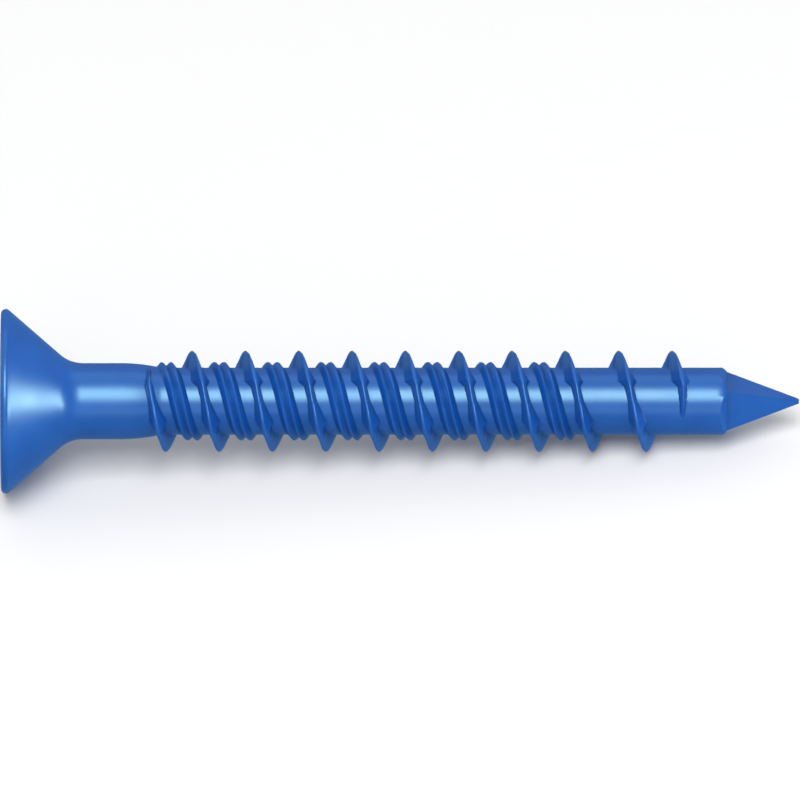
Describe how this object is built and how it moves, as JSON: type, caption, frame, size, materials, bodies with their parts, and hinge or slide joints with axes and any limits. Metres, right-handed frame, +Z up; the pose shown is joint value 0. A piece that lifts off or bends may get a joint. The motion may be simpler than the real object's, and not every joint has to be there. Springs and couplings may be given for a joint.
{
  "type": "concrete screw",
  "caption": "Flat-head concrete screw with a cross recess, a notched high thread, a double-ridged low thread and a square point, lying on its side.",
  "frame": {"origin": "on the surface the screw lies on, below the middle of its box", "axes": "+X from the head towards the point, which dips a little, +Z up, the screw lies on the rim of its head and the last turn of its thread"},
  "size_m": [0.0574, 0.0132, 0.0132],
  "materials": {
    "blue_coating": "semi-gloss blue corrosion-resistant coating on steel"
  },
  "bodies": {
    "root": {"concrete_screw": "blue_coating"}
  },
  "joints": []
}
